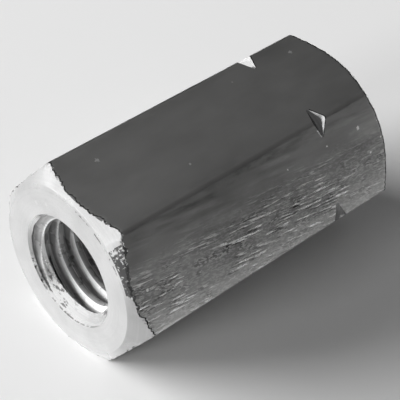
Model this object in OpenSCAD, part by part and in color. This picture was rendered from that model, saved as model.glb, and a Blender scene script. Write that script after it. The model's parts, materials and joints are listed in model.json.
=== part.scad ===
// Coupling nut, M8 x 24, turned from hexagon bar 13 mm across flats.
// It joins a right-hand threaded rod to a left-hand one.
//
// The nut lies on one flat. Its axis runs along X, half the width across flats
// above z = 0, and the origin is under the middle of the nut. The right-hand end
// faces -X. The left-hand end faces +X and has the mark cut in the bar's edges.
// The bore is drawn at its tapping size: the M8 threads themselves aren't modelled.

/* [Hexagon bar] */
// Width across flats
across_flats = 13; // [11:0.5:24]
// Length between the end faces
length = 24; // [16:0.5:60]
// How far the bar's rounded edges stop short of a sharp corner
edge_break = 0.05; // [0.02:0.01:0.3]

/* [Chamfered ends] */
// Step from the middle of a flat in to where the chamfer would meet the end face
face_inset = 0.3; // [0.1:0.05:0.8]
// Angle between the chamfer and the end face
chamfer_angle = 40; // [15:1:50]
// Radius of the soft rim between the end face and the chamfer
rim_radius = 0.5; // [0.1:0.05:0.8]

/* [Threaded bore] */
// Nominal thread diameter
thread_d = 8; // [5:0.5:9]
// Thread pitch
thread_pitch = 1.25; // [0.8:0.05:1.5]
// How much wider the countersink's mouth is than the thread
countersink_extra = 0.3; // [0.1:0.05:1]
// Included angle of the countersink
countersink_angle = 90; // [60:5:120]

/* [Left-hand mark] */
// Distance from the left-hand end face to the middle of the mark
mark_from_end = 5.7; // [3:0.1:7]
// Depth of the mark below the bar's edges
mark_depth = 0.48; // [0.2:0.02:0.7]
// Included angle of the mark's two sides
mark_angle = 90; // [60:5:120]
// Nose radius of the tool that cuts the mark
mark_nose_r = 0.2; // [0.05:0.05:0.4]

/* [Hidden] */
$fn = 96;

flat_r = across_flats / 2;
half_length = length / 2;

sharp_corner_r = flat_r / cos(30);
edge_r = sharp_corner_r - edge_break;

// The chamfer would meet the end face at face_r. The rim's rounding starts at rim_r
// instead and comes down to the chamfer at the two rim_end distances.
face_r = flat_r - face_inset;
chamfer_length = (edge_r - face_r) * tan(chamfer_angle);
rim_r = face_r - rim_radius * tan(chamfer_angle / 2);
rim_end_r = rim_r + rim_radius * sin(chamfer_angle);
rim_end_depth = rim_radius * (1 - cos(chamfer_angle));

// The tapping drill of a metric thread is its nominal diameter less one pitch.
bore_d = thread_d - thread_pitch;
countersink_d = thread_d + countersink_extra;
countersink_depth = (countersink_d - bore_d) / 2 / tan(countersink_angle / 2);

// Amount by which the cutting tools pass the faces that they cut
overcut = 1;

mark_z = half_length - mark_from_end;
mark_centre_r = edge_r - mark_depth + mark_nose_r;

// The bar before turning, with two of its flats level once the nut lies down.
module hexagon_bar() {
    rotate(30)
        cylinder(r = sharp_corner_r, h = length, center = true, $fn = 6);
}

// The turned outline from the middle of the nut to its +Z end: the bar's edge, the
// chamfer, the soft rim and the end face.
module end_outline() {
    polygon([
        [0, 0],
        [edge_r, 0],
        [edge_r, half_length - chamfer_length],
        [rim_end_r, half_length - rim_end_depth],
        [rim_r, half_length],
        [0, half_length],
    ]);
    translate([rim_r, half_length - rim_radius])
        circle(r = rim_radius);
}

// Outline of the round-nosed V tool that cuts the left-hand mark. X is the radius
// and the tool's middle is on y = 0. Its sides run on past the bar's edges.
module mark_tool() {
    nose_turn = 90 - mark_angle / 2;
    side_start_r = mark_centre_r - mark_nose_r * cos(nose_turn);
    half_start = mark_nose_r * sin(nose_turn);
    side_end_r = sharp_corner_r + overcut;
    half_end = half_start + (side_end_r - side_start_r) * tan(mark_angle / 2);
    polygon([
        [side_start_r, -half_start],
        [side_end_r, -half_end],
        [side_end_r, half_end],
        [side_start_r, half_start],
    ]);
    translate([mark_centre_r, 0])
        circle(r = mark_nose_r);
}

// The solid that the lathe leaves: the end chamfers, the V groove of the
// left-hand mark and the bar's broken edges. It meets the hexagon only near its
// corners, so the chamfers end in curves on the flats and the groove in six
// separate notches.
module turned_envelope() {
    rotate_extrude()
        difference() {
            union() {
                end_outline();
                mirror([0, 1]) end_outline();
            }
            translate([0, mark_z]) mark_tool();
        }
}

// The tapping hole, right through the nut.
module tapping_hole() {
    cylinder(d = bore_d, h = length + 2 * overcut, center = true);
}

// The countersink of the +Z end, carried on past the end face at its own angle.
module countersink() {
    mouth_overcut_d = countersink_d + 2 * overcut * tan(countersink_angle / 2);
    translate([0, 0, half_length - countersink_depth])
        cylinder(d1 = bore_d, d2 = mouth_overcut_d, h = countersink_depth + overcut);
}

module coupling_nut() {
    color([0.66, 0.67, 0.68])
        translate([0, 0, flat_r])
            rotate([0, 90, 0])
                difference() {
                    intersection() {
                        hexagon_bar();
                        turned_envelope();
                    }
                    tapping_hole();
                    countersink();
                    mirror([0, 0, 1]) countersink();
                }
}

coupling_nut();
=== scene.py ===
"""Looks of the coupling nut: a mesh with real threads, its steel finishes, the floor, lamps and camera."""
import json
import math

import bmesh
import bpy
import numpy as np
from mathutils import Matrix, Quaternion, Vector


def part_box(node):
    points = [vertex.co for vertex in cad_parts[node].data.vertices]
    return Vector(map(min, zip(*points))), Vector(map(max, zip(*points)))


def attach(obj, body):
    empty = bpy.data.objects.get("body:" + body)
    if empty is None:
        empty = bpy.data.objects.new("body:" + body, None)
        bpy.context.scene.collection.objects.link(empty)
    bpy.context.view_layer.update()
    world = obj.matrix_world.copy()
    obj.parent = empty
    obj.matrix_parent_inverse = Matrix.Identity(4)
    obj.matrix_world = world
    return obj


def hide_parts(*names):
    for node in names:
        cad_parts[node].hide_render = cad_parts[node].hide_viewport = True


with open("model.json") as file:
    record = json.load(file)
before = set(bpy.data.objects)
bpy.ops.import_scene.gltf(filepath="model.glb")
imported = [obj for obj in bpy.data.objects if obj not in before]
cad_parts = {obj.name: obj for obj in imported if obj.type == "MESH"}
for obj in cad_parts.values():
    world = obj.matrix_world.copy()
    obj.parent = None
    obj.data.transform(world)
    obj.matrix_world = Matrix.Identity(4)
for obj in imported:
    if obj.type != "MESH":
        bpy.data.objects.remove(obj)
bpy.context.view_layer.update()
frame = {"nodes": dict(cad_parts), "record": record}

NODE = "coupling_nut"

# Lengths are in millimetres, but the floor's, the lamps' and the camera's are in Blender's metres.
MM = 0.001
RIGHT_HAND_END, LEFT_HAND_END = -1, 1

low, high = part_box(NODE)
LENGTH = (high.x - low.x) / MM
HALF_LENGTH = LENGTH / 2
FLAT_R = (high.z - low.z) / MM / 2
AXIS_Z = (high.z + low.z) / MM / 2
TOP_Z = high.z / MM
EDGE_R = high.y / MM
SIDES = 6
HALF_SIDE = math.pi / SIDES
WHOLE_TURN = 2 * math.pi


def mount_dims(name):
    """The sizes of one of the record's mounts."""
    return next(m["dims"] for m in frame["record"]["mounts"] if m["name"] == name)


def end_face_radius():
    """Radius of the flat end face: the widest that the CAD mesh is in the plane of its end."""
    points = np.array([v.co for v in frame["nodes"][NODE].data.vertices]) / MM
    at_end = points[points[:, 0] < -HALF_LENGTH + 0.001]
    return np.hypot(at_end[:, 1], at_end[:, 2] - AXIS_Z).max()


# ---------------------------------------------------------------- bar and chamfers
CHAMFER_ANGLE = math.radians(40)
# The soft rim starts at the end face's edge and turns down into the chamfer.
RIM_START_R = end_face_radius()
RIM_RADIUS = 0.5
RIM_STEPS = 6
# Where the chamfer would meet the end face without the rim
FACE_R = RIM_START_R + RIM_RADIUS * math.tan(CHAMFER_ANGLE / 2)
# Where rows lie on the chamfer between the rim and its edge, as shares of the way
CHAMFER_ROW_SHARES = (0.35, 0.7, 0.9)
# The bar's edges are round. The blend is the one that ends as far out as the CAD's edges.
SHARP_CORNER_R = FLAT_R / math.cos(HALF_SIDE)
EDGE_BLEND = (SHARP_CORNER_R - EDGE_R) / (1 / math.cos(HALF_SIDE) - 1)

# How ragged each end's chamfer edge is, how far it wavers in coarse teeth and in fine ones, and how far
# past the chamfer's own depth it lies
RAGGEDNESS = {RIGHT_HAND_END: 1.0, LEFT_HAND_END: 0.3}
COARSE_TEETH = 0.048
FINE_TEETH = 0.034
EDGE_OFFSET = 0.02
# The corner that is worn short at the right-hand end: angle about the axis, spread in degrees, share lost
WORN_CORNER = (122, 6, 0.35)

# Torn lip that the chamfering tool leaves on the flats: its width where it isn't torn, how much a bad tear
# adds, how far its width wavers, its depth, and how much deeper a bad tear can be
LIP_WIDTH = 0.09
TORN_WIDTH = 0.16
LIP_WAVER = 0.02
LIP_DEPTH = 0.01
TORN_DEPTH = 0.09
# How badly the lip is torn: everywhere, by the small tears, and by the right-hand end's large tears (angle
# about the axis, spread in degrees, strength)
LEAST_TEAR = 0.1
SMALL_TEARS = 0.12
LARGE_TEARS = ((128, 3, 1.0), (143, 12, 0.6))
# How bad a tear must be to show on the lip, and to take the chamfer's innermost row and its outermost
LIP_LIMIT = 0.25
CHAMFER_LIMITS = (0.45, 0.3)
# How many of the rim's steps every tear leaves alone
WHOLE_RIM_STEPS = 3

# Where rows cross the flats on each side of the groove, as shares of the way
LONG_FLAT_SHARES = (0.02, 0.08, 0.2, 0.35, 0.5, 0.65, 0.8, 0.92, 0.98)
SHORT_FLAT_SHARES = (0.05, 0.2, 0.5, 0.8, 0.95)

# ---------------------------------------------------------------- groove
# V groove with a round root that marks the left-hand end, as in the CAD: how far it is from that end, and
# how deep below the bar's edges
MARK_FROM_END = 5.7
MARK_DEPTH = 0.48
MARK_X = HALF_LENGTH - MARK_FROM_END
MARK_R = EDGE_R - MARK_DEPTH
MARK_NOSE_R = 0.2
MARK_SLOPE = math.radians(45)
MARK_NOSE_HEIGHT = MARK_NOSE_R * (1 - math.cos(MARK_SLOPE))
MARK_NOSE_HALF = MARK_NOSE_R * math.sin(MARK_SLOPE)
# The far side's outer part stands steeper, as a lip. It starts at these shares of the depth and half width.
LIP_START = 0.5
LIP_REACH = 0.723
LIP_BANDS = 2
# Heights of the rows on the groove's two sides, as shares of its depth
NEAR_SIDE_SHARES = (1, 0.75, 0.5, 0.25, 0.1, 0.03, 0)
FAR_SIDE_SHARES = (0.2, 0.4, LIP_START, 0.8, 1)
# Width of the dark line along a notch's far edge, and of the painted highlight beside its near edge
BESIDE_MARK = 0.1
# The painted highlight is a band of the flat in the chamfer's bright finish, beside the notch in the upper
# edge of the -Y side: its middle's angle about the axis, and its half length in degrees.
PAINTED_SPUR_HIGHLIGHT = (126.0, 2.2)

# ---------------------------------------------------------------- threads
BORE_R = mount_dims("thread_right_hand")["r_mm"]
COUNTERSINK_DEPTH = (LENGTH - mount_dims("thread_right_hand")["length_mm"]) / 2
# The countersink's included angle is 90 degrees, so it widens by as much as it is deep.
COUNTERSINK_R = BORE_R + COUNTERSINK_DEPTH
# How far the mouth's level rows run on past the countersink
MOUTH_OVERLAP = 0.1
THREAD_R = 4.0
PITCH = 1.25
# A metric thread's flanks stand 30 degrees from square to the axis.
FLANK_LENGTH = (THREAD_R - BORE_R) * math.tan(math.radians(30))
ROOT_FLAT = PITCH / 8
CREST_FLAT = PITCH - ROOT_FLAT - 2 * FLANK_LENGTH
# Where rows follow the thread from the middle of one crest to the next, as shares of the pitch
THREAD_ROW_SHARES = (0, 0.13, 0.155, 0.25, 0.34, 0.43, 0.5, 0.57, 0.66, 0.75, 0.845, 0.87)
# Depth of a crest at angle 0
THREAD_START = 0.95
# Where the tap stopped, short of the middle, and the slope of its lead
TAP_STOP = 0.9
TAP_LEAD = math.radians(14)
BORE_COLUMNS = 200


def bar_radius(angle):
    """Distance from the axis to the drawn bar: six flats joined by round edges."""
    from_edge = np.abs((angle + HALF_SIDE) % (2 * HALF_SIDE) - HALF_SIDE)
    blend_centre = (FLAT_R - EDGE_BLEND) / math.cos(HALF_SIDE)
    sideways = blend_centre * np.sin(from_edge)
    blend = blend_centre * np.cos(from_edge) + np.sqrt(np.maximum(EDGE_BLEND**2 - sideways**2, 0))
    flat = FLAT_R / np.cos(HALF_SIDE - from_edge)
    return np.where(from_edge < blend_end_angle(), blend, flat)


def blend_end_angle():
    """Angle about the axis from the middle of an edge to where its blend meets the flat."""
    return HALF_SIDE - math.atan((FLAT_R - EDGE_BLEND) * math.tan(HALF_SIDE) / FLAT_R)


def outside_angles(blend_steps=4, flat_step=0.085):
    """Angles of the outside's columns. One falls on each end of every notch."""
    blend = np.linspace(0, blend_end_angle(), blend_steps)
    half_flat = FLAT_R * math.tan(HALF_SIDE - blend_end_angle())
    across = np.linspace(half_flat, 0, round(half_flat / flat_step))
    flat = HALF_SIDE - np.arctan(across / FLAT_R)
    notch_end = HALF_SIDE - math.acos(FLAT_R / MARK_R)
    flat[np.argmin(np.abs(flat - notch_end))] = notch_end
    half = np.concatenate([blend, flat[1:]])
    side = np.concatenate([half, (2 * HALF_SIDE - half[-2:0:-1])])
    return np.concatenate([side + 2 * HALF_SIDE * k for k in range(SIDES)])


def ragged(angle, seed, count, lowest, highest):
    """A line that wavers about zero round the axis: a sum of sine waves of lowest to highest periods."""
    chance = np.random.default_rng(seed)
    waves = chance.integers(lowest, highest, count)
    phases = chance.uniform(0, WHOLE_TURN, count)
    heights = chance.normal(0, 1, count)
    total = sum(h * np.sin(w * angle + p) for w, p, h in zip(waves, phases, heights))
    return total / math.sqrt(count / 2)


def bell(angle, place, spread):
    """1 at a place round the axis, falling away on both sides of it. Place and spread are in degrees."""
    return np.exp(-(((np.degrees(angle) - place) / spread) ** 2))


def wear(angle, end):
    """Share of the chamfer's depth that wear takes, greatest at the worn corner."""
    if end == LEFT_HAND_END:
        return np.zeros_like(angle)
    place, spread, share = WORN_CORNER
    return share * bell(angle, place, spread)


def tear(angle, end):
    """How badly the chamfer's edge is torn, from 0 to about 1."""
    small = np.maximum(ragged(angle, 47 + end, count=24, lowest=5, highest=40), 0)
    total = RAGGEDNESS[end] * (LEAST_TEAR + SMALL_TEARS * small)
    if end == RIGHT_HAND_END:
        for place, spread, strength in LARGE_TEARS:
            total = total + strength * bell(angle, place, spread)
    return total


def chamfer_rows(angle, end, seed):
    """(depth from the end face, radius) of each row from the face's edge to the chamfer's wavering edge."""
    rows = []
    for turn in np.linspace(0, CHAMFER_ANGLE, RIM_STEPS):
        depth = RIM_RADIUS * (1 - math.cos(turn))
        radius = RIM_START_R + RIM_RADIUS * math.sin(turn)
        rows.append((np.full_like(angle, depth), np.full_like(angle, radius)))
    rim_depth = rows[-1][0]
    bar = bar_radius(angle)
    cone_depth = (bar - FACE_R) * math.tan(CHAMFER_ANGLE)
    edge_depth = cone_depth * (1 - wear(angle, end))
    for share in CHAMFER_ROW_SHARES:
        depth = rim_depth + share * (edge_depth - rim_depth)
        on_cone = rim_depth + share * (cone_depth - rim_depth)
        rows.append((depth, FACE_R + on_cone / math.tan(CHAMFER_ANGLE)))
    coarse = ragged(angle, seed, count=40, lowest=14, highest=70)
    fine = ragged(angle, seed + 1, count=60, lowest=70, highest=220)
    waver = COARSE_TEETH * coarse + FINE_TEETH * fine
    rows.append((edge_depth + EDGE_OFFSET + RAGGEDNESS[end] * waver, bar))
    return rows


def lip_rows(edge, angle, end, seed):
    """(depth, radius) of the rows over the torn lip, from the chamfer's edge on to the untouched flat."""
    edge_depth, bar = edge
    chance = np.random.default_rng(seed)
    torn = tear(angle, end)
    waver = ragged(angle, seed + 2, count=60, lowest=60, highest=200)
    width = LIP_WIDTH + TORN_WIDTH * torn + LIP_WAVER * waver
    rows = []
    for share in (0.25, 0.5, 0.75):
        dent = LIP_DEPTH + TORN_DEPTH * torn * chance.uniform(0, 1, len(angle))
        rows.append((edge_depth + share * width, bar - dent))
    rows.append((edge_depth + width, bar))
    return rows


def end_rows(angle, end, seed):
    """(x, radius) of one end's rows, from the end face to the untouched flats, and each band's finish."""
    chamfer = chamfer_rows(angle, end, seed)
    lip = lip_rows(chamfer[-1], angle, end, seed)
    rows = [(end * (HALF_LENGTH - depth), radius) for depth, radius in chamfer + lip]
    torn = tear(angle, end)
    on_lip = np.where(torn > LIP_LIMIT, "burr", "edge")
    limits = np.linspace(*CHAMFER_LIMITS, len(chamfer) - 1 - WHOLE_RIM_STEPS)
    # Where the tears are bad, the chamfer takes the burr's dark finish: partly torn metal, partly painted
    # shade.
    on_chamfer = [np.where(torn > limit, "burr", "chamfer") for limit in limits]
    finishes = ["chamfer"] * WHOLE_RIM_STEPS + on_chamfer + [on_lip] * len(lip)
    return rows, finishes


def mark_half_width(height):
    """Half the groove's width at a height above its root."""
    in_nose = np.sqrt(np.maximum(2 * MARK_NOSE_R * height - height**2, 0))
    on_side = MARK_NOSE_HALF + (height - MARK_NOSE_HEIGHT) / math.tan(MARK_SLOPE)
    return np.where(height < MARK_NOSE_HEIGHT, in_nose, on_side)


def mark_rows(angle):
    """(x, radius) of the rows across the groove, which shrink to one point where a flat isn't cut."""
    bar = bar_radius(angle)
    depth = np.maximum(bar - MARK_R, 0)
    rows = []
    for share in NEAR_SIDE_SHARES:
        rows.append((MARK_X - mark_half_width(share * depth), bar - depth + share * depth))
    for share in FAR_SIDE_SHARES:
        reach = np.interp(share, (0, LIP_START, 1), (0, LIP_REACH, 1))
        rows.append((MARK_X + reach * mark_half_width(depth), bar - depth + share * depth))
    before = (rows[0][0] - BESIDE_MARK, bar)
    after = (rows[-1][0] + BESIDE_MARK, bar)
    return [before] + rows + [after]


def mark_finishes(angle):
    """The finish of each band across the groove. Only upper notches have the bright lip and dark line."""
    place, half_length = PAINTED_SPUR_HIGHLIGHT
    # Painted highlight: a band of flat beside the notch takes the chamfer's bright finish.
    spur_highlight = np.where(np.abs(np.degrees(angle) - place) < half_length, "chamfer", "drawn")
    upper = np.sin(angle) > 0.5
    lip = np.where(upper, "chamfer", "mark")
    line = np.where(upper & (bar_radius(angle) > MARK_R), "edge", "drawn")
    side_bands = len(NEAR_SIDE_SHARES) + len(FAR_SIDE_SHARES) - 1
    return [spur_highlight] + ["mark"] * (side_bands - LIP_BANDS) + [lip] * LIP_BANDS + [line]


def rows_between(first, last, shares):
    """Rows on the bar's surface, spread between two rows that are already there."""
    x, radius = first
    x_step, radius_step = last[0] - x, last[1] - radius
    return [(x + share * x_step, radius + share * radius_step) for share in shares]


def outside_rows(angle):
    """Every row of the outside, from the right-hand end to the left-hand end, and each band's finish."""
    near, near_finishes = end_rows(angle, RIGHT_HAND_END, seed=11)
    far, far_finishes = end_rows(angle, LEFT_HAND_END, seed=29)
    far, far_finishes = far[::-1], far_finishes[::-1]
    mark = mark_rows(angle)
    long_flat = rows_between(near[-1], mark[0], LONG_FLAT_SHARES)
    short_flat = rows_between(mark[-1], far[0], SHORT_FLAT_SHARES)
    finishes = near_finishes + ["drawn"] * (len(long_flat) + 1) + mark_finishes(angle)
    finishes += ["drawn"] * (len(short_flat) + 1) + far_finishes
    return near + long_flat + mark + short_flat + far, finishes


def thread_radius(depth, angle, start):
    """The threaded wall's radius. start is a crest's depth at angle 0.

    Crests lie deeper as the angle grows, which is a right-hand thread at the right-hand end, and its mirror
    image at the other.
    """
    along = np.abs(((depth - start) / PITCH - angle / WHOLE_TURN + 0.5) % 1 - 0.5) * PITCH
    wall = BORE_R + np.clip((along - CREST_FLAT / 2) / FLANK_LENGTH, 0, 1) * (THREAD_R - BORE_R)
    lead = BORE_R + np.maximum(HALF_LENGTH - TAP_STOP - depth, 0) * math.tan(TAP_LEAD)
    return np.minimum(wall, lead)


def countersink_radius(depth):
    """The countersink's cone, which the bore's wall never lies inside."""
    return np.maximum(COUNTERSINK_R - depth, BORE_R)


def mouth_depths(row_step=0.035):
    """Depths of the level rows that take in the countersink and the start of the thread."""
    last = COUNTERSINK_DEPTH + MOUTH_OVERLAP
    return np.linspace(0, last, round(last / row_step))


def thread_depths(angle):
    """Depths of the rows that follow the thread, one array for each row."""
    first = mouth_depths()[-1]
    last = HALF_LENGTH - TAP_STOP
    climb = PITCH * angle / WHOLE_TURN
    rows = []
    turn = math.floor((first - PITCH - THREAD_START) / PITCH)
    while THREAD_START + turn * PITCH < last:
        crest = THREAD_START + turn * PITCH + climb
        rows += [np.clip(crest + share * PITCH, first, last) for share in THREAD_ROW_SHARES]
        turn += 1
    return rows


# ---------------------------------------------------------------- mesh
class Shell:
    """Points and faces of one closed mesh, gathered as rows that run round the nut's axis."""

    def __init__(self):
        self.points = []
        self.turns = []
        self.alongs = []
        self.faces = []
        self.finishes = []

    def add_row(self, x, radius, angle, along=None):
        """Adds a row of points and returns their numbers. along is its place on the map, by default x's."""
        first = len(self.points)
        along = (x + HALF_LENGTH) / LENGTH if along is None else along
        self.turns += (angle / WHOLE_TURN).tolist()
        self.alongs += np.broadcast_to(along, angle.shape).tolist()
        x = np.broadcast_to(x, angle.shape)
        radius = np.broadcast_to(radius, angle.shape)
        self.points += zip(x, radius * np.cos(angle), AXIS_Z + radius * np.sin(angle))
        return list(range(first, len(self.points)))

    def add_face(self, corners, finish, flip=False):
        """Adds one face, turned over if flip is true."""
        self.faces.append(corners[::-1] if flip else corners)
        self.finishes.append(finish)

    def join_rows(self, lower, upper, finish, flip=False):
        """Quads between two closed rows with as many points. The finish is one for all, or one a quad."""
        finishes = np.broadcast_to(finish, len(lower)).tolist()
        for i, here in enumerate(lower):
            after = (i + 1) % len(lower)
            self.add_face((here, lower[after], upper[after], upper[i]), finishes[i], flip)

    def zip_rows(self, lower, lower_angle, upper, upper_angle, finish, flip=False):
        """Triangles between two closed rows with different numbers of points."""
        i = j = 0
        while i < len(lower) or j < len(upper):
            next_lower = lower_angle[i + 1] if i + 1 < len(lower) else WHOLE_TURN
            next_upper = upper_angle[j + 1] if j + 1 < len(upper) else WHOLE_TURN
            here, across = lower[i % len(lower)], upper[j % len(upper)]
            if j == len(upper) or (i < len(lower) and next_lower <= next_upper):
                i += 1
                self.add_face((here, lower[i % len(lower)], across), finish, flip)
            else:
                j += 1
                self.add_face((here, upper[j % len(upper)], across), finish, flip)


def add_outside(shell, angle):
    """The flats, chamfers and notches. Returns the two rows that the end faces start from."""
    rows, finishes = outside_rows(angle)
    steps = [np.hypot(b[0] - a[0], b[1] - a[1]).max() for a, b in zip(rows, rows[1:])]
    alongs = np.concatenate([[0], np.cumsum(steps)]) / sum(steps)
    numbers = [shell.add_row(x, radius, angle, along) for (x, radius), along in zip(rows, alongs)]
    for lower, upper, finish in zip(numbers, numbers[1:], finishes):
        shell.join_rows(lower, upper, finish)
    return numbers[0], numbers[-1]


def add_mouth(shell, end, angle):
    """One end's countersink and the start of its thread, in level rows. Returns the row at the end face."""
    numbers = []
    finishes = []
    for depth in mouth_depths():
        thread = thread_radius(depth, angle, THREAD_START)
        radius = np.maximum(countersink_radius(depth), thread)
        numbers.append(shell.add_row(end * (HALF_LENGTH - depth), radius, angle))
        finishes.append(np.where(radius > thread, "countersink", "thread"))
    for lower, upper, finish in zip(numbers, numbers[1:], finishes):
        shell.join_rows(lower, upper, finish, flip=end == RIGHT_HAND_END)
    return numbers[0]


def add_thread(shell, end, angle):
    """One end's thread, from its mouth to where the tap stopped, in rows that each follow it for a turn."""
    numbers = []
    for depth in thread_depths(angle):
        radius = thread_radius(depth, angle, THREAD_START)
        numbers.append(shell.add_row(end * (HALF_LENGTH - depth), radius, angle))
    for lower, upper in zip(numbers, numbers[1:]):
        for i in range(len(angle) - 1):
            corners = (lower[i], lower[i + 1], upper[i + 1], upper[i])
            shell.add_face(corners, "thread", flip=end == RIGHT_HAND_END)


def add_bore_half(shell, end, angle):
    """One end's countersink and thread. Returns the rows at its mouth and at its inner end."""
    closed = angle[:-1]
    mouth = add_mouth(shell, end, closed)
    add_thread(shell, end, angle)
    inner = shell.add_row(end * TAP_STOP, BORE_R, closed)
    return mouth, inner


def build_shell():
    """The whole nut as one closed surface."""
    shell = Shell()
    outside_angle = outside_angles()
    bore_angle = np.linspace(0, WHOLE_TURN, BORE_COLUMNS + 1)
    near_rim, far_rim = add_outside(shell, outside_angle)
    near_mouth, near_inner = add_bore_half(shell, RIGHT_HAND_END, bore_angle)
    far_mouth, far_inner = add_bore_half(shell, LEFT_HAND_END, bore_angle)
    shell.join_rows(near_inner, far_inner, "thread", flip=True)
    shell.zip_rows(near_mouth, bore_angle[:-1], near_rim, outside_angle, "face")
    shell.zip_rows(far_mouth, bore_angle[:-1], far_rim, outside_angle, "face", flip=True)
    return shell


# Where each part of the surface lies on the UV map: its lowest u and v, its width and its height. The
# outside and the bore are unrolled round the axis, and the end faces are seen straight on.
OUTSIDE_PATCH = (0.005, 0.005, 0.99, 0.6)
BORE_PATCH = (0.56, 0.62, 0.43, 0.37)
FACE_PATCHES = {RIGHT_HAND_END: (0.01, 0.67, 0.26, 0.26), LEFT_HAND_END: (0.28, 0.67, 0.26, 0.26)}


def face_shares(shell, corner):
    """How far across and up its end face's square a corner lies, from 0 to 1."""
    y, z = shell.points[corner][1:]
    return 0.5 + y / RIM_START_R / 2, 0.5 + (z - AXIS_Z) / RIM_START_R / 2


def unrolled_shares(shell, corners):
    """How far round the axis and how far along the surface each corner of a face lies, from 0 to 1."""
    turns = [shell.turns[c] for c in corners]
    if max(turns) - min(turns) > 0.5:
        turns = [turn + 1 if turn < 0.5 else turn for turn in turns]
    return [(turn, shell.alongs[c]) for turn, c in zip(turns, corners)]


def place_on_map(shell, corners, finish):
    """The (u, v) of each corner of a face."""
    if finish == "face":
        shares = [face_shares(shell, c) for c in corners]
        patch = FACE_PATCHES[math.copysign(1, shell.points[corners[0]][0])]
    else:
        shares = unrolled_shares(shell, corners)
        patch = BORE_PATCH if finish in ("thread", "countersink") else OUTSIDE_PATCH
    u, v, width, height = patch
    return [(u + width * across, v + height * up) for across, up in shares]


def join_points(mesh, gap=0.0001 * MM):
    """Makes one point of the points that lie on the same spot."""
    joined = bmesh.new()
    joined.from_mesh(mesh)
    bmesh.ops.remove_doubles(joined, verts=joined.verts, dist=gap)
    joined.to_mesh(mesh)
    joined.free()


def finish_mesh(shell, materials, sharp_from=28):
    """Makes the Blender object in metres, smooth but for edges sharper than sharp_from degrees."""
    mesh = bpy.data.meshes.new("threaded_nut")
    mesh.from_pydata((np.array(shell.points) * MM).tolist(), [], shell.faces)
    order = list(materials)
    mesh.polygons.foreach_set("material_index", [order.index(finish) for finish in shell.finishes])
    for finish in order:
        mesh.materials.append(materials[finish])
    places = [place_on_map(shell, face, finish) for face, finish in zip(shell.faces, shell.finishes)]
    uv_map = mesh.uv_layers.new(name="OFBake")
    uv_map.data.foreach_set("uv", np.array([uv for corners in places for uv in corners]).ravel())
    join_points(mesh)
    mesh.shade_smooth()
    mesh.set_sharp_from_angle(angle=math.radians(sharp_from))
    nut = bpy.data.objects.new("threaded_nut", mesh)
    bpy.context.scene.collection.objects.link(nut)
    return nut


# ---------------------------------------------------------------- node trees
class Tree:
    """A node tree, with short calls to add and link its nodes."""

    def __init__(self, tree):
        self.tree = tree

    def add(self, kind, links=None, values=None, **settings):
        """A new node: links and values give its inputs by name or number, settings its own properties."""
        node = self.tree.nodes.new("ShaderNode" + kind)
        for key, value in settings.items():
            setattr(node, key, value)
        for key, value in (values or {}).items():
            node.inputs[key].default_value = value
        for key, source in (links or {}).items():
            self.tree.links.new(source, node.inputs[key])
        return node

    def maths(self, operation, first, second):
        """One arithmetic step. Each side is a node's output or a number."""
        node = self.add("Math", operation=operation)
        for socket, side in zip(node.inputs, (first, second)):
            if isinstance(side, (int, float)):
                socket.default_value = side
            else:
                self.tree.links.new(side, socket)
        return node.outputs["Value"]


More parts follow.
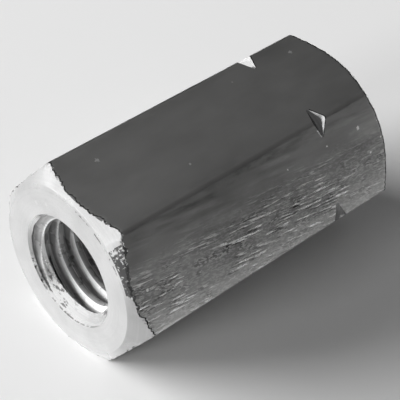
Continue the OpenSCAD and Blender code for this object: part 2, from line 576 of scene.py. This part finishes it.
class Recipe(Tree):
    """A bare metal's material. Its own coordinates are in millimetres: place, x, y, z, and from_axis."""

    def __init__(self, name):
        self.material = bpy.data.materials.new(name)
        self.material.use_nodes = True
        super().__init__(self.material.node_tree)
        self.shader = self.tree.nodes["Principled BSDF"]
        self.shader.inputs["Metallic"].default_value = 1.0
        in_metres = self.add("TexCoord").outputs["Object"]
        self.place = self.add("Mapping", {"Vector": in_metres}, {"Scale": [1 / MM] * 3}).outputs["Vector"]
        self.x, self.y, self.z = self.add("SeparateXYZ", {"Vector": self.place}).outputs
        values = {"Scale": (0, 1, 1), "Location": (0, 0, -AXIS_Z)}
        spoke = self.add("Mapping", {"Vector": self.place}, values).outputs["Vector"]
        self.from_axis = self.add("VectorMath", {0: spoke}, operation="LENGTH").outputs["Value"]

    def drive(self, name, source):
        """Links a source to one of the shader's inputs."""
        self.tree.links.new(source, self.shader.inputs[name])

    def noise(self, scale, detail=3, roughness=0.5, shift=(0, 0, 0), tilt=0.0):
        """Noise from about 0.2 to 0.8, with scale waves a millimetre: one number, or one for each axis."""
        scale = np.broadcast_to(scale, 3).tolist()
        turned = self.add("Mapping", {"Vector": self.place}, {"Rotation": (0, tilt, 0)})
        location = [-s * d for s, d in zip(scale, shift)]
        values = {"Scale": scale, "Location": location}
        moved = self.add("Mapping", {"Vector": turned.outputs["Vector"]}, values)
        values = {"Scale": 1.0, "Detail": detail, "Roughness": roughness}
        return self.add("TexNoise", {"Vector": moved.outputs["Vector"]}, values).outputs["Fac"]

    def rings(self, fineness, drift):
        """Turning rings: noise that changes fast along the radius and the axis, and slowly round them."""
        scale = (fineness, drift, drift)
        around = self.add("Mapping", {"Vector": self.place}, {"Scale": scale}).outputs["Vector"]
        outward = self.product(self.from_axis, fineness)
        shift = self.add("CombineXYZ", {1: outward}).outputs["Vector"]
        spot = self.add("VectorMath", {0: around, 1: shift}, operation="ADD").outputs["Vector"]
        return self.add("TexNoise", {"Vector": spot}, {"Scale": 1.0, "Detail": 3}).outputs["Fac"]

    def ramp(self, source, low, high, out_low=0.0, out_high=1.0):
        """Maps low..high to out_low..out_high with soft ends, and no further."""
        values = {"From Min": low, "From Max": high, "To Min": out_low, "To Max": out_high}
        node = self.add("MapRange", {"Value": source}, values, interpolation_type="SMOOTHSTEP")
        return node.outputs["Result"]

    def spread(self, noise, out_low, out_high):
        """Maps the middle of a noise's range to out_low..out_high."""
        return self.ramp(noise, 0.3, 0.7, out_low, out_high)

    def total(self, *parts):
        """The sum of several outputs or numbers."""
        sum_so_far = parts[0]
        for part in parts[1:]:
            sum_so_far = self.maths("ADD", sum_so_far, part)
        return sum_so_far

    def product(self, *parts):
        """Several outputs or numbers multiplied."""
        product_so_far = parts[0]
        for part in parts[1:]:
            product_so_far = self.maths("MULTIPLY", product_so_far, part)
        return product_so_far

    def nicks(self, places):
        """1 inside small uneven spots, each given by its point and its radius, and 0 elsewhere."""
        uneven = self.noise(9, detail=2)
        mask = 0.0
        for point, radius in places:
            gap = self.add("VectorMath", {0: self.place}, {1: point}, operation="DISTANCE")
            reach = self.spread(uneven, 0.5 * radius, 1.4 * radius)
            inside = self.maths("LESS_THAN", gap.outputs["Value"], reach)
            mask = self.maths("MAXIMUM", mask, inside)
        return mask

    def paint(self, tone, warmth=0.0):
        """Sets a nearly neutral base colour. warmth takes away a share of blue and a fifth as much green."""
        green = self.product(tone, 1 - 0.2 * warmth)
        blue = self.product(tone, 1 - warmth)
        colour = self.add("CombineColor", {0: tone, 1: green, 2: blue}).outputs["Color"]
        self.drive("Base Color", colour)

    def bump(self, height, depth):
        """Bump of a height from 0 to 1, whose real depth is given."""
        node = self.add("Bump", {"Height": height}, {"Distance": depth * MM})
        self.drive("Normal", node.outputs["Normal"])


def grey(level):
    """A neutral colour, with its alpha."""
    return (level, level, level, 1)


# ---------------------------------------------------------------- materials
# The scratches run this much out of line with the bar.
SCRATCH_TILT = math.radians(-8)
# Noise for cracks and torn flecks
RUGGED = {"detail": 4, "roughness": 0.65}

# Small dents. On the top flat: x, y and radius. On the upper flat of the -Y side: x, height and radius.
TOP_NICKS = (
    (-8.34, 2.06, 0.16),
    (-3.68, -1.72, 0.09),
    (9.56, 2.37, 0.14),
    (4.0, 2.46, 0.05),
    (6.26, 2.87, 0.07),
)
SIDE_NICKS = (
    (9.58, 11.22, 0.13),
    (10.3, 9.33, 0.09),
    (2.69, 11.2, 0.06),
    (6.48, 11.24, 0.07),
    (-10.5, 9.25, 0.1),
    (11.47, 11.02, 0.09),
    (11.5, 9.9, 0.07),
)
# Small bright dents in the right-hand end face: y, height and radius
FACE_NICKS = ((3.5, 10.1, 0.12), (2.5, 10.75, 0.12))


def on_side_flat(x, z):
    """The point at x and height z on the upper flat of the -Y side."""
    outward = math.pi - HALF_SIDE
    return (x, (FLAT_R - (z - AXIS_Z) * math.sin(outward)) / math.cos(outward), z)


def flat_nicks():
    """The point and radius of every dent in the flats."""
    on_top = [((x, y, TOP_Z), radius) for x, y, radius in TOP_NICKS]
    on_side = [(on_side_flat(x, z), radius) for x, z, radius in SIDE_NICKS]
    return on_top + on_side


def flat_tone_and_painted_reflection(r, side, blotches):
    """How pale the unmarked flats are: cloudy, and with painted reflection, dark high on the sides, palest
    below, and darker or paler along the bar as lit.
    """
    clouds = r.noise((0.17, 0.26, 0.26), detail=2)
    high_on_side = r.product(side, r.ramp(r.z, 9.5, 11.5))
    painted_light_along_side = r.total(r.ramp(r.x, -8, 0, 0.0, -0.035), r.ramp(r.x, 0, 9, 0.0, 0.085))
    return r.total(
        0.55,
        # Painted reflection: the sides darker than the top flat and paler lower down, and darker or paler
        # along the bar as lit.
        r.product(side, -0.26),
        r.product(r.ramp(r.z, TOP_Z - 0.2, TOP_Z), r.ramp(r.x, -10, 0, 0.035, -0.03)),
        r.ramp(r.z, 12.5, 8, 0.0, 0.08),
        r.ramp(r.z, 8.5, 6.4, 0.0, 0.28),
        r.product(high_on_side, painted_light_along_side),
        r.spread(clouds, -0.045, 0.045),
        r.spread(blotches, -0.02, 0.02),
    )


def edge_tone(r, blotches):
    """Blotches along the bar's long edges, and a thin dark line along those on the +Y side."""
    beside = r.product(r.ramp(r.from_axis, 6.7, 7.4), r.ramp(blotches, 0.35, 0.6), -0.08)
    on_edge = r.product(r.ramp(r.from_axis, EDGE_R - 0.035, EDGE_R - 0.005), r.ramp(r.y, 0, 1))
    return r.total(beside, r.product(on_edge, r.ramp(blotches, 0.3, 0.6, -0.4, -0.12)))


def scratches(r, worn):
    """Patches of short scratches, fainter at the far end: pale, with painted shade in a furrow just below
    each.
    """
    patches = r.ramp(r.noise((0.33, 0.7, 0.7), detail=2), 0.4, 0.52)
    where = r.product(worn, patches, r.ramp(r.x, 6, 10, 1.0, 0.4))
    streaks = {"scale": (0.48, 6.5, 6.5), "roughness": 0.6, "tilt": SCRATCH_TILT}
    scratch = r.product(r.ramp(r.noise(**streaks), 0.55, 0.61), where)
    furrow_with_painted_shade = r.product(r.ramp(r.noise(**streaks, shift=(0, 0, -0.1)), 0.55, 0.61), where)
    return scratch, furrow_with_painted_shade


def chatter_marks(r, worn):
    """Fine flecks from -1 to 1 on the worn parts, strongest in small spots."""
    grain = r.noise((3.5, 9, 9), detail=2, tilt=SCRATCH_TILT)
    spots = r.ramp(r.noise((0.8, 1.5, 1.5), detail=1, shift=(1, 0, 0)), 0.6, 0.66)
    strength = r.total(r.product(worn, 0.4), r.product(spots, worn, 0.6))
    return r.product(r.ramp(grain, 0.48, 0.58, -1.0, 1.0), strength)


def drawn_steel():
    """Flats of the drawn bar: smooth higher up, scuffed and scratched further down, with painted reflection
    that makes them dark high up and paler further down.
    """
    r = Recipe("drawn_steel")
    side = r.ramp(r.z, TOP_Z, TOP_Z - 0.2)
    worn = r.ramp(r.z, 11.4, 8.8)
    blotches = r.noise((0.42, 0.9, 0.9), detail=4, roughness=0.6)
    bands = r.noise((0.16, 1.7, 1.7), roughness=0.55, tilt=SCRATCH_TILT)
    scratch, furrow_with_painted_shade = scratches(r, worn)
    chatter = chatter_marks(r, worn)
    nicks = r.nicks(flat_nicks())
    tone = r.total(
        flat_tone_and_painted_reflection(r, side, blotches),
        edge_tone(r, blotches),
        r.product(r.spread(bands, -0.045, 0.045), r.ramp(blotches, 0.4, 0.6, 0.2, 1.5), side),
        r.product(scratch, 0.6),
        # Painted shade in the furrow below each scratch
        r.product(furrow_with_painted_shade, -0.16),
        r.product(chatter, 0.14),
        r.product(nicks, 0.7),
    )
    r.paint(tone, warmth=0.015)
    r.drive("Roughness", r.total(0.36, r.product(scratch, -0.1)))
    relief = r.total(
        r.product(bands, 0.15),
        r.product(scratch, 0.6),
        r.product(furrow_with_painted_shade, -0.6),
        r.product(chatter, 0.3),
        r.product(nicks, -1.0),
    )
    r.bump(relief, 0.012)
    return r.material


def rim_cracks(r):
    """A broken dark line where the end face meets its rim, high on the -Y side."""
    inner = r.ramp(r.from_axis, RIM_START_R - 0.06, RIM_START_R - 0.03)
    outer = r.ramp(r.from_axis, RIM_START_R + 0.05, RIM_START_R + 0.08, 1.0, 0.0)
    broken = r.ramp(r.noise(2.2, **RUGGED), 0.5, 0.53)
    strength = r.product(r.ramp(r.z, 9.5, 10.8, 0.0, -0.65), r.ramp(r.y, 1, -0.3, 0.12, 1.0))
    return r.product(inner, outer, broken, strength)


def turned_steel(name, roughness, ring_depth, painted_shade_minus_y=0.0):
    """End faces and chamfers: bright, with rings and faint clouds. The last argument darkens the -Y edge
    with painted shade.
    """
    r = Recipe(name)
    rings = r.rings(7, 0.16)
    clouds = r.noise(0.42, detail=4)
    dents = [((-HALF_LENGTH, y, z), radius) for y, z, radius in FACE_NICKS]
    tone = r.total(
        0.88,
        # Painted shade towards the -Y edge
        r.ramp(r.y, -4.8, -6.2, 0.0, -painted_shade_minus_y),
        rim_cracks(r),
        r.product(r.nicks(dents), 0.1),
        r.spread(clouds, -0.07, 0.05),
        r.spread(rings, -0.02, 0.02),
    )
    r.paint(tone)
    r.drive("Roughness", r.total(roughness, r.spread(clouds, -0.03, 0.04)))
    r.bump(rings, ring_depth)
    return r.material


def thread_steel():
    """Tapped threads: a painted highlight beside their crests, painted shade on the crests' flats and in
    their roots, stained at the start.
    """
    r = Recipe("thread_steel")
    r.shader.inputs["Metallic"].default_value = 0.4
    rings = r.rings(5, 0.24)
    clouds = r.noise(0.9, detail=4)
    crest = (BORE_R + 0.005, BORE_R + 0.025)
    # The painted highlight beside each crest is wider low down, where the light reaches deeper into the
    # thread.
    beyond_crest = r.maths("SUBTRACT", r.from_axis, r.product(r.ramp(r.z, 6, 4), 0.28))
    painted_crest_highlight = r.product(
        r.ramp(r.from_axis, *crest, 0.0, 0.45),
        r.ramp(beyond_crest, BORE_R + 0.045, BORE_R + 0.185, 1.0, 0.0),
    )
    stain = r.product(
        r.ramp(r.x, 1.5 - HALF_LENGTH, 1.0 - HALF_LENGTH),
        r.ramp(r.y, 0, 1.4),
        r.ramp(r.z, 4.5, 7.8, -0.22, 0.03),
    )
    tone = r.total(
        0.45,
        # Painted shade on the crests' flats
        r.ramp(r.from_axis, *crest, -0.15, 0.0),
        painted_crest_highlight,
        # Painted shade in the roots
        r.ramp(r.from_axis, THREAD_R - 0.2, THREAD_R - 0.05, 0.0, -0.1),
        stain,
        r.spread(clouds, -0.08, 0.08),
        r.spread(rings, -0.06, 0.06),
    )
    r.paint(tone)
    r.drive("Roughness", r.spread(clouds, 0.24, 0.34))
    r.bump(rings, 0.004)
    return r.material


def countersink_stain(r):
    """How much a ragged stain darkens the +Y side of the countersinks, most of all half way up."""
    uneven = r.total(r.z, r.product(r.noise((2.5, 2.5, 6), **RUGGED), 2))
    return r.product(
        r.ramp(uneven, 5.2, 5.5),
        r.ramp(r.y, 0.4, 1.6),
        r.ramp(r.z, 5.5, 8.5, 0.42, 0.06),
    )


def countersink_steel():
    """Countersinks: bright turned steel, stained on one side, torn and cracked towards the bottom."""
    r = Recipe("countersink_steel")
    rings = r.rings(5, 0.24)
    flecks = r.ramp(r.noise((4.5, 1.3, 3), **RUGGED), 0.55, 0.59)
    torn = r.product(flecks, r.ramp(r.z, 5.2, 3.8), r.ramp(r.y, -1.2, 0.6))
    at_rim = r.ramp(r.from_axis, COUNTERSINK_R - 0.08, COUNTERSINK_R - 0.05)
    cracks = r.product(at_rim, r.ramp(r.noise(2.5, **RUGGED), 0.47, 0.5), r.ramp(r.z, 4.5, 3.8))
    tone = r.total(
        0.9,
        r.spread(rings, -0.06, 0.05),
        r.product(torn, -0.6),
        r.product(cracks, -0.45),
        r.product(countersink_stain(r), -1.0),
    )
    r.paint(tone)
    r.drive("Roughness", r.spread(rings, 0.22, 0.3))
    r.bump(r.total(r.product(rings, 0.3), r.product(torn, -0.7)), 0.01)
    return r.material


def mark_steel():
    """The turned sides of the notches, with painted light and shade: bright on the +Y side, where the light
    falls, and dark on the other.
    """
    r = Recipe("mark_steel")
    rings = r.rings(6, 0.2)
    # Painted light and shade: pale on the +Y side, dark on the -Y side
    r.paint(r.total(r.ramp(r.y, -2, 1, 0.38, 0.84), r.spread(rings, -0.06, 0.06)))
    r.drive("Roughness", r.spread(rings, 0.18, 0.26))
    r.bump(rings, 0.003)
    return r.material


def burr_steel():
    """Torn metal along the chamfers' edges: rough, with bright grains, most of them high up, and dark, which
    is partly painted shade.
    """
    r = Recipe("burr_steel")
    grains = r.total(r.noise(5, roughness=0.6), r.ramp(r.z, 10.8, 11.7, -0.1, 0.0))
    r.paint(r.total(0.2, r.ramp(grains, 0.49, 0.57, 0.0, 0.75)))
    r.drive("Roughness", r.ramp(grains, 0.4, 0.65, 0.6, 0.3))
    r.bump(grains, 0.02)
    return r.material


def edge_steel():
    """Thin, nearly black lines along the edges of the notches and chamfers."""
    r = Recipe("edge_steel")
    grains = r.noise(5, roughness=0.6)
    r.paint(r.ramp(grains, 0.4, 0.65, 0.04, 0.3))
    r.drive("Roughness", r.ramp(grains, 0.4, 0.65, 0.5, 0.35))
    r.bump(grains, 0.006)
    return r.material


def floor_paint():
    """Pale matt floor."""
    material = bpy.data.materials.new("floor_paint")
    material.use_nodes = True
    sockets = material.node_tree.nodes["Principled BSDF"].inputs
    sockets["Base Color"].default_value = grey(0.8)
    sockets["Roughness"].default_value = 0.9
    sockets["Specular IOR Level"].default_value = 0.2
    return material


# ---------------------------------------------------------------- stage, light and camera, in metres
FLOOR_HALF_WIDTH = 6.0

# How pale the room is, as camera and metal see it: how far towards the lit side, from 0 to 1, and the level
BACKDROP_AZIMUTH = 138
BACKDROP_STOPS = ((0.3, 0.12), (0.5, 0.16), (0.73, 0.22), (0.775, 0.96))
# How bright the room is for everything else
AMBIENT = 0.12

CAMERA_LENS = 136.4
CAMERA_AIM = Vector((-0.0003, -0.0002, 0.00616))
CAMERA_DISTANCE = 0.10528
CAMERA_ROLL = math.radians(9.84)


def direction(azimuth, elevation):
    """Unit vector at an azimuth, from +X towards +Y, and an elevation above the floor, both in degrees."""
    a, e = math.radians(azimuth), math.radians(elevation)
    return Vector((math.cos(a) * math.cos(e), math.sin(a) * math.cos(e), math.sin(e)))


def add_floor():
    """A flat pale floor at the level that the nut lies on."""
    mesh = bpy.data.meshes.new("floor")
    signs = ((-1, -1), (1, -1), (1, 1), (-1, 1))
    corners = [(x * FLOOR_HALF_WIDTH, y * FLOOR_HALF_WIDTH, low.z) for x, y in signs]
    mesh.from_pydata(corners, [], [(0, 1, 2, 3)])
    mesh.materials.append(floor_paint())
    floor = bpy.data.objects.new("floor", mesh)
    bpy.context.scene.collection.objects.link(floor)


def add_softbox(name, azimuth, elevation, distance, width, height, power):
    """A large rectangular lamp that faces the nut. Metal shows the pale backdrop in its place."""
    lamp = bpy.data.lights.new(name, "AREA")
    lamp.shape = "RECTANGLE"
    lamp.size = width
    lamp.size_y = height
    lamp.energy = power
    box = bpy.data.objects.new(name, lamp)
    towards = direction(azimuth, elevation)
    box.location = towards * distance
    box.rotation_mode = "QUATERNION"
    box.rotation_quaternion = (-towards).to_track_quat("-Z", "Y")
    box.visible_camera = False
    box.visible_glossy = False
    bpy.context.scene.collection.objects.link(box)


def backdrop_colour(room):
    """The room's colour as camera and metal see it, paler towards the lit side."""
    view = room.add("TexCoord").outputs["Generated"]
    lit_side = direction(BACKDROP_AZIMUTH, elevation=0)
    facing = room.add("VectorMath", {0: view}, {1: lit_side}, operation="DOT_PRODUCT").outputs["Value"]
    share = room.add("MapRange", {"Value": facing}, {"From Min": -1.0}).outputs["Result"]
    backdrop = room.add("ValToRGB", {"Fac": share})
    backdrop.color_ramp.interpolation = "EASE"
    stops = backdrop.color_ramp.elements
    while len(stops) < len(BACKDROP_STOPS):
        stops.new(0.5)
    for stop, (place, level) in zip(stops, BACKDROP_STOPS):
        stop.position = place
        stop.color = grey(level)
    return backdrop.outputs["Color"]


def add_world():
    """The room: dim as light for the floor, and pale on the lit side as the camera and metal see it."""
    world = bpy.data.worlds.new("room")
    world.use_nodes = True
    bpy.context.scene.world = world
    room = Tree(world.node_tree)
    ray = room.add("LightPath").outputs
    seen = room.maths("MAXIMUM", ray["Is Camera Ray"], ray["Is Glossy Ray"])
    level = room.add("MapRange", {"Value": seen, "To Max": backdrop_colour(room)}, {"To Min": AMBIENT})
    background = world.node_tree.nodes["Background"]
    world.node_tree.links.new(level.outputs["Result"], background.inputs["Color"])


def add_camera():
    """The camera: above the right-hand end, looking down along the nut."""
    camera = bpy.data.cameras.new("camera")
    camera.lens = CAMERA_LENS
    camera.clip_start = 0.001
    camera.clip_end = 20
    holder = bpy.data.objects.new("camera", camera)
    back = direction(azimuth=-139.445, elevation=46.125)
    holder.location = CAMERA_AIM + CAMERA_DISTANCE * back
    holder.rotation_mode = "QUATERNION"
    roll = Quaternion((0, 0, 1), CAMERA_ROLL)
    holder.rotation_quaternion = (-back).to_track_quat("-Z", "Y") @ roll
    bpy.context.scene.collection.objects.link(holder)
    bpy.context.scene.camera = holder


add_camera()
add_floor()
add_world()
add_softbox("key_softbox", azimuth=135, elevation=20, distance=1.6, width=1.33, height=0.68, power=63)
add_softbox("side_softbox", azimuth=180, elevation=20, distance=1.6, width=0.42, height=0.22, power=7)
bpy.context.scene.view_settings.view_transform = "Standard"

MATERIALS = {
    "drawn": drawn_steel(),
    "face": turned_steel("face_steel", roughness=0.2, ring_depth=0.001),
    "chamfer": turned_steel("chamfer_steel", roughness=0.26, ring_depth=0.002, painted_shade_minus_y=0.3),
    "countersink": countersink_steel(),
    "thread": thread_steel(),
    "mark": mark_steel(),
    "burr": burr_steel(),
    "edge": edge_steel(),
}
nut = finish_mesh(build_shell(), MATERIALS)
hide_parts(NODE)
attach(nut, "root")
